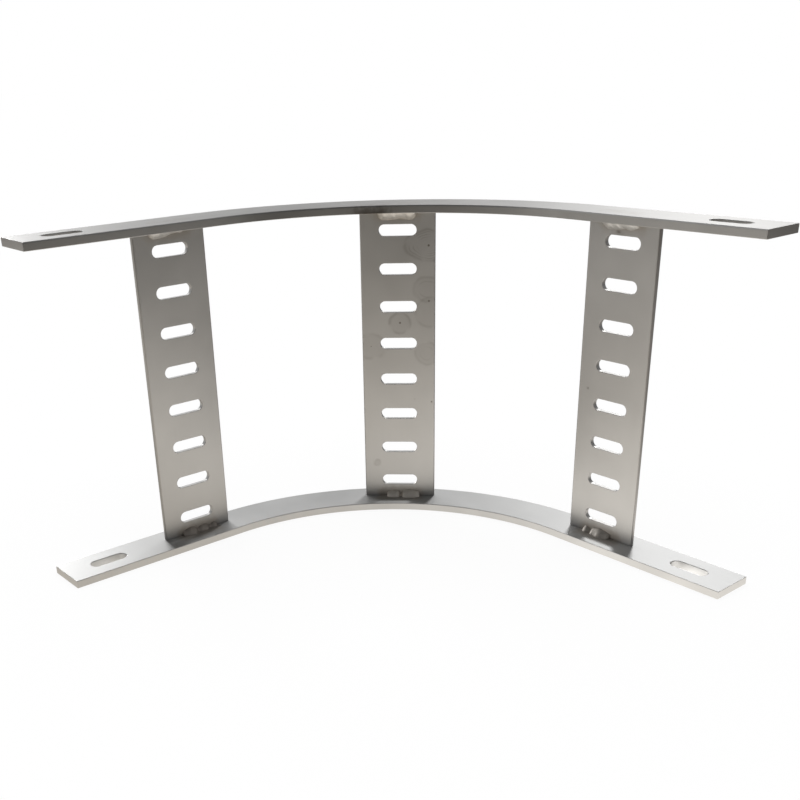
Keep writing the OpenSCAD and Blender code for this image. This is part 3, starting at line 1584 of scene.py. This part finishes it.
@dataclass
class Studio:
    """Plain white floor in soft studio light, with a white background.

    The glows stand round a dark room. Those behind the camera are given at both ends of the bearing's range.
    """

    glows: tuple[Glow, ...] = (
        Glow(-32, 14, 14, 20, 2.4),
        Glow(-26, 10, 4, 12, 1.0),
        Glow(-29, 8, 4, 7, 3.5),
        Glow(-10, 18, 13, 9, 0.45),
        Glow(-5, 32, 40, 12, 0.5),
        Glow(11, 4, 6, 5, 1.1),
        Glow(20, 34, 20, 9, 0.5),
        Glow(-90, 5, 35, 30, 0.72),
        Glow(90, 5, 35, 30, 0.29),
        Glow(80, 45, 40, 20, 0.28),
        Glow(180, 20, 60, 20, 0.16),
        Glow(-180, 20, 60, 20, 0.16),
        Glow(180, 50, 60, 15, 0.17),
        Glow(-180, 50, 60, 15, 0.17),
        Glow(0, 90, 3600, 35, 0.06),
    )
    lamps: tuple[Lamp, ...] = (
        Lamp("left_lamp", (-0.80, 0.90, 0.41), 0.20, 0.73),
        Lamp("right_lamp", (0.69, 2.07, 1.62), 0.45, 0.65),
    )
    patches: tuple[FloorPatch, ...] = (
        FloorPatch(0.0, -0.25, 0.4, 0.4, 1.0, FloorTint.WARM),
        FloorPatch(0.05, -0.03, 0.14, 0.14, 0.55, FloorTint.WHITE),
        FloorPatch(0.22, -0.06, 0.12, 0.14, 0.5, FloorTint.WHITE),
        FloorPatch(-0.7, -0.3, 0.4, 0.45, 0.86),
        FloorPatch(-1.5, 0.05, 0.6, 0.6, 0.75),
        FloorPatch(-0.9, 0.3, 0.4, 0.3, 0.85),
        FloorPatch(0.9, -0.1, 0.45, 0.4, 0.60),
        FloorPatch(1.5, 0.2, 0.7, 0.7, 0.18),
        FloorPatch(0.75, -1.5, 0.5, 0.5, 0.5),
        FloorPatch(-0.184, -0.049, 0.01, 0.01, 0.55, FloorTint.WHITE),
        FloorPatch(0.184, -0.049, 0.01, 0.01, 1.2, FloorTint.WHITE),
        FloorPatch(0.0, 0.9, 0.7, 0.35, 0.6),
    )
    floor_half: float = 20.0
    floor_drop: float = 0.05 * MM
    floor_white: float = 0.9
    overhead: float = 2.4
    overhead_angle: float = math.radians(80)

    def floor_material(self) -> bpy.types.Material:
        """Makes the floor's white, which keeps the shadows, and on which metal sees the patches of light.

        Returns:
            The material.
        """
        made = bpy.data.materials.new("pale_floor")
        graph = Graph.of(made)
        x, y, _ = graph.parts(graph.node("ShaderNodeTexCoord").outputs["Object"])
        light = (0.0, 0.0, 0.0)
        for patch in self.patches:
            light = patch.light(graph, x, y, light)
        path = graph.node("ShaderNodeLightPath").outputs
        seen = path["Is Camera Ray"]
        colour = graph.blend(seen, light, WHITE)
        shine = graph.node("ShaderNodeEmission", {"Color": colour}).outputs["Emission"]
        matt = graph.node("ShaderNodeBsdfDiffuse", {"Color": WHITE}).outputs["BSDF"]
        mirrored = graph.math("ADD", path["Is Glossy Ray"], path["Is Transmission Ray"])
        share = graph.math("MULTIPLY_ADD", seen, self.floor_white, mirrored, clamp=True)
        both = graph.node("ShaderNodeMixShader", {0: share, 1: matt, 2: shine})
        graph.node("ShaderNodeOutputMaterial", {"Surface": both.outputs["Shader"]})
        return made

    def floor(self) -> bpy.types.Object:
        """Makes the floor, a hair below the part.

        Returns:
            The floor.
        """
        half, low = self.floor_half, -self.floor_drop
        corners = [(-half, -half, low), (half, -half, low), (half, half, low), (-half, half, low)]
        mesh = bpy.data.meshes.new("floor")
        mesh.from_pydata(corners, [], [(0, 1, 2, 3)])
        mesh.materials.append(self.floor_material())
        floor = added("floor", mesh)
        return floor

    def world(self) -> None:
        """Makes the room's light: white to the camera, and the soft glows to all else."""
        world = bpy.data.worlds.new("studio")
        bpy.context.scene.world = world
        graph = Graph.of(world)
        x, y, z = graph.parts(graph.node("ShaderNodeTexCoord").outputs["Generated"])
        bearing = graph.math("ARCTAN2", x, y)
        elevation = graph.math("ARCSINE", z)
        light = 0.0
        for glow in self.glows:
            light = graph.math("ADD", light, glow.light(graph, bearing, elevation))
        seen = graph.node("ShaderNodeLightPath").outputs["Is Camera Ray"]
        light = graph.math("ADD", graph.math("MULTIPLY", light, graph.math("SUBTRACT", 1.0, seen)), seen)
        background = graph.node("ShaderNodeBackground", {"Color": WHITE, "Strength": light})
        graph.node("ShaderNodeOutputWorld", {"Surface": background.outputs["Background"]})

    def overhead_light(self) -> bpy.types.Object:
        """Makes the soft light over the floor, which metal doesn't mirror.

        Returns:
            The light.
        """
        data = bpy.data.lights.new("overhead", "SUN")
        data.energy = self.overhead
        data.angle = self.overhead_angle
        lamp = added("overhead", data)
        lamp.visible_glossy = False
        return lamp

    def build(self) -> None:
        """Makes the whole studio."""
        self.floor()
        self.world()
        self.overhead_light()
        for lamp in self.lamps:
            lamp.build()
        bpy.context.scene.view_settings.view_transform = "Standard"


def rung_drops(side: Side) -> tuple[Drop, ...]:
    """Dried drops and specks on a rung, from its head down.

    Args:
        side: which rung.

    Returns:
        The rung's drops.
    """
    if side is Side.RIGHT:
        return (
            Drop(93.2 * MM, -3.3 * MM, 1.6 * MM, 1.6, rim=0.3, fill=0.65, line=1.2 * MM),
            Drop(-3.5 * MM, -17.6 * MM, 1.2 * MM, rim=0.0, fill=0.12, speck=0.4 * MM),
        )
    if side is Side.LEFT:
        return ()
    return (
        Drop(77.5 * MM, 20.4 * MM, 9.8 * MM, 1.55, rim=0.26, tides=0.26, fill=0.04, speck=0.75 * MM),
        Drop(49.0 * MM, 20.0 * MM, 8.5 * MM, 1.15, rim=0.20, tides=0.14, fill=0.08, tide=3.0 * MM),
        Drop(41.2 * MM, 20.8 * MM, 1.6 * MM, rim=0.0, fill=0.14, speck=0.95 * MM),
        Drop(33.5 * MM, 21.5 * MM, 10.0 * MM, rim=0.18, fill=0.05),
        Drop(26.6 * MM, 1.1 * MM, 6.8 * MM, 1.05, rim=0.30, fill=0.10, speck=0.85 * MM),
        Drop(10.5 * MM, -19.0 * MM, 8.5 * MM, 1.2, rim=0.20, fill=0.07, speck=0.5 * MM, line=1.0 * MM),
        Drop(5.5 * MM, 19.5 * MM, 8.0 * MM, rim=0.16, tides=0.10, fill=0.08, tide=3.5 * MM),
        Drop(-29.0 * MM, 22.8 * MM, 1.2 * MM, rim=0.0, fill=0.10, speck=0.5 * MM),
        Drop(-27.0 * MM, 11.0 * MM, 1.6 * MM, rim=0.0, fill=0.10),
        Drop(-74.9 * MM, -15.8 * MM, 2.4 * MM, rim=0.22, fill=0.16, line=0.7 * MM),
    )


def weld_beads(sizes: BendSizes) -> list[WeldBead]:
    """The six welds, each with the ends and lumps that the hand-laid bead has.

    Args:
        sizes: the bend's sizes.

    Returns:
        The welds, at the rungs' feet and then at their heads.
    """
    low, high = Level.LOWER, Level.UPPER
    pale = WeldMetal("pale_weld", (0.76, 0.73, 0.69), (0.60, 0.56, 0.50), 0.50)
    ash = WeldMetal("ash_weld", (0.74, 0.73, 0.71), (0.66, 0.645, 0.62), 0.52)
    grey = WeldMetal("grey_weld", (0.56, 0.53, 0.49), (0.42, 0.39, 0.35), 0.60)
    dull = WeldMetal("dull_weld", (0.80, 0.76, 0.70), (0.66, 0.62, 0.56), 0.52)
    burnt = WeldMetal("burnt_weld", (0.48, 0.44, 0.40), (0.28, 0.25, 0.22), 0.50)
    return [
        WeldBead(
            sizes, Side.LEFT, low, -12.4 * MM, 14.5 * MM, burnt, 3.4 * MM,
            (Lump(-6 * MM, 0.3, 4 * MM), Lump(-0.5 * MM, -0.4, 1.5 * MM), Lump(9 * MM, -0.5, 2 * MM)),
        ),
        WeldBead(
            sizes, Side.MIDDLE, low, -9.4 * MM, 14.2 * MM, dull, 4.0 * MM,
            (Lump(0.6 * MM, -0.75, 1.2 * MM), Lump(7.5 * MM, 0.2, 4.5 * MM)),
        ),
        WeldBead(
            sizes, Side.RIGHT, low, -12.7 * MM, 8.5 * MM, grey, 3.8 * MM,
            (Lump(-7.5 * MM, -0.6, 1.6 * MM), Lump(1 * MM, 0.25, 3.5 * MM)),
        ),
        WeldBead(
            sizes, Side.LEFT, high, -14 * MM, 10.3 * MM, ash, 4.4 * MM,
            (Lump(-9 * MM, 0.2, 5 * MM), Lump(5 * MM, -0.35, 5 * MM)),
        ),
        WeldBead(
            sizes, Side.MIDDLE, high, -13 * MM, 12.5 * MM, pale, 6.0 * MM,
            (Lump(-9 * MM, 0.06, 4 * MM), Lump(1 * MM, -0.1, 4 * MM), Lump(9.5 * MM, 0.05, 2.5 * MM)),
        ),
        WeldBead(
            sizes, Side.RIGHT, high, -14.4 * MM, 11.1 * MM, ash, 5.6 * MM,
            (Lump(-9 * MM, 0.05, 3 * MM), Lump(1 * MM, -0.12, 3 * MM), Lump(9 * MM, -0.15, 3 * MM)),
        ),
    ]


def main() -> None:
    """Builds the studio, the camera and every piece of the bend, and logs each piece's count of faces."""
    logging.basicConfig(level=logging.INFO, format="%(name)s: %(message)s")
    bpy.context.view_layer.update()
    sizes = BendSizes()
    Studio().build()
    PhotoCamera().build()
    pieces = [SideRail(sizes, level).build() for level in Level]
    for side in Side:
        pieces.append(Rung(sizes, side, rung_drops(side)).build())
    pieces += [bead.build() for bead in weld_beads(sizes)]
    for piece in pieces:
        LOG.info("%s: %d faces", piece.name, len(piece.data.polygons))


if __name__ == "__main__":
    main()
